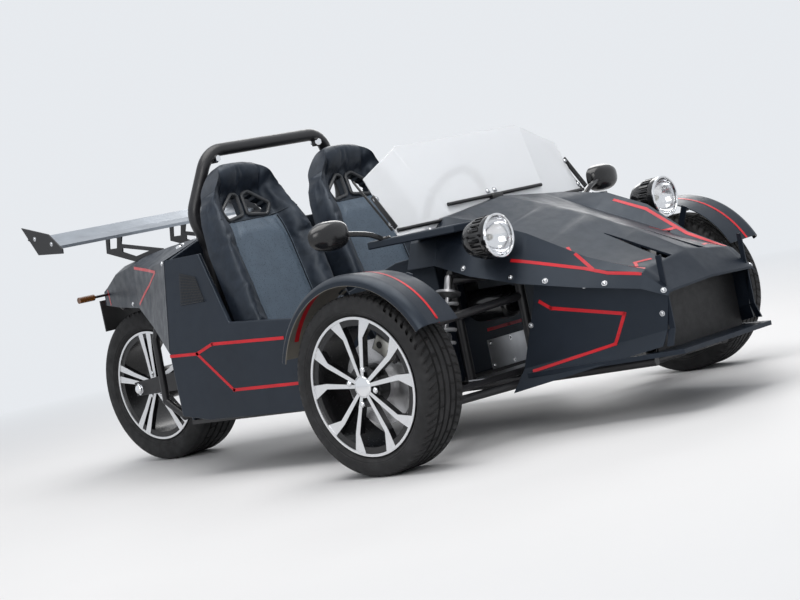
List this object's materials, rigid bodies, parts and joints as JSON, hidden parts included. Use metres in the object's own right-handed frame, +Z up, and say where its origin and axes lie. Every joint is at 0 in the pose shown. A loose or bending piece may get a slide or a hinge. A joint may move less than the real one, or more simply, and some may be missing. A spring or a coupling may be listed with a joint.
{
  "type": "three wheeled car",
  "caption": "Open two-seat sports three-wheeler with steered front wheels under cycle fenders, a roll hoop, a wrap-round screen and a rear wing.",
  "frame": {"origin": "on the ground, midway between the nose tip and the back of the rear tyre, on the centre plane", "axes": "+X forward, +Y to the car's left, +Z up"},
  "size_m": [2.8479, 1.744, 1.104],
  "materials": {
    "body_matte": "matte charcoal paint with red pinstripes",
    "frame_black": "satin black coated tube",
    "floor_metal": "brushed sheet",
    "tyre_rubber": "black rubber",
    "rim_alloy": "machined face over black",
    "disc_steel": "turned",
    "knuckle_metal": "painted casting",
    "spring_grey": "grey coated spring",
    "screen_clear": "clear polycarbonate",
    "lamp_shell": "gloss black",
    "lamp_glass": "clear lens",
    "rear_lamp": "red and amber lens",
    "seat_leather": "black leather",
    "grip_black": "black grip",
    "trim_black": "black plastic",
    "engine_metal": "cast casing",
    "wing_metal": "satin sheet"
  },
  "bodies": {
    "chassis": {"hood": "body_matte", "nose_sides": "body_matte", "splitter": "body_matte", "side_panel_left": "body_matte", "side_panel_right": "body_matte", "scuttle": "body_matte", "cowl_blades": "body_matte", "rear_cover": "body_matte", "front_bulkhead": "body_matte", "rear_bulkhead": "body_matte", "front_frame": "frame_black", "rear_frame": "frame_black", "roll_hoop": "frame_black", "wishbones": "frame_black", "swingarm": "frame_black", "steering_column": "frame_black", "wing_brackets": "frame_black", "floor_pan": "floor_metal", "front_tray": "floor_metal", "coilovers": "spring_grey", "rear_shock": "spring_grey", "windscreen": "screen_clear", "headlamps": "lamp_shell", "mirrors": "lamp_shell", "headlamp_lenses": "lamp_glass", "rear_lamps": "rear_lamp", "seat_base_left": "seat_leather", "seat_base_right": "seat_leather", "seat_back_left": "seat_leather", "seat_back_right": "seat_leather", "nose_intake": "trim_black", "plate_holder": "trim_black", "bay_canister": "trim_black", "engine": "engine_metal", "wing": "wing_metal"},
    "knuckle_left": {"knuckle_left": "knuckle_metal", "fender_left": "body_matte"},
    "knuckle_right": {"knuckle_right": "knuckle_metal", "fender_right": "body_matte"},
    "front_wheel_left": {"front_tyre_left": "tyre_rubber", "front_rim_left": "rim_alloy", "front_disc_left": "disc_steel"},
    "front_wheel_right": {"front_tyre_right": "tyre_rubber", "front_rim_right": "rim_alloy", "front_disc_right": "disc_steel"},
    "rear_wheel": {"rear_tyre": "tyre_rubber", "rear_rim": "rim_alloy"},
    "steering": {"steering_wheel": "grip_black"},
    "rack": {"tie_rods": "frame_black"}
  },
  "joints": [
    {"name": "steering_turn", "type": "hinge", "parent": "chassis", "child": "steering", "pos_m": [0.224, 0.26, 0.69], "axis": [-0.9511, 0, 0.309], "range_deg": [-210, 210]},
    {"name": "rack_slide", "type": "slide", "parent": "chassis", "child": "rack", "axis": [0, 1, 0], "range_m": [-0.0526, 0.0526]},
    {"name": "steer_left", "type": "hinge", "parent": "chassis", "child": "knuckle_left", "pos_m": [0.724, 0.676, 0.27], "axis": [0, 0, 1], "range_deg": [-28.5, 28.5]},
    {"name": "front_wheel_left_spin", "type": "hinge", "parent": "knuckle_left", "child": "front_wheel_left", "pos_m": [0.724, 0.788, 0.27], "axis": [0, 1, 0], "continuous": true},
    {"name": "steer_right", "type": "hinge", "parent": "chassis", "child": "knuckle_right", "pos_m": [0.724, -0.676, 0.27], "axis": [0, 0, 1], "range_deg": [-28.5, 28.5]},
    {"name": "front_wheel_right_spin", "type": "hinge", "parent": "knuckle_right", "child": "front_wheel_right", "pos_m": [0.724, -0.788, 0.27], "axis": [0, 1, 0], "continuous": true},
    {"name": "rear_wheel_spin", "type": "hinge", "parent": "chassis", "child": "rear_wheel", "pos_m": [-1.136, 0, 0.288], "axis": [0, 1, 0], "continuous": true}
  ],
  "couplings": [
    {"joint": "steer_left", "follows": "steering_turn", "ratio": 0.13333},
    {"joint": "steer_right", "follows": "steering_turn", "ratio": 0.13333},
    {"joint": "rack_slide", "follows": "steering_turn", "m_per_rad": 0.01409}
  ]
}
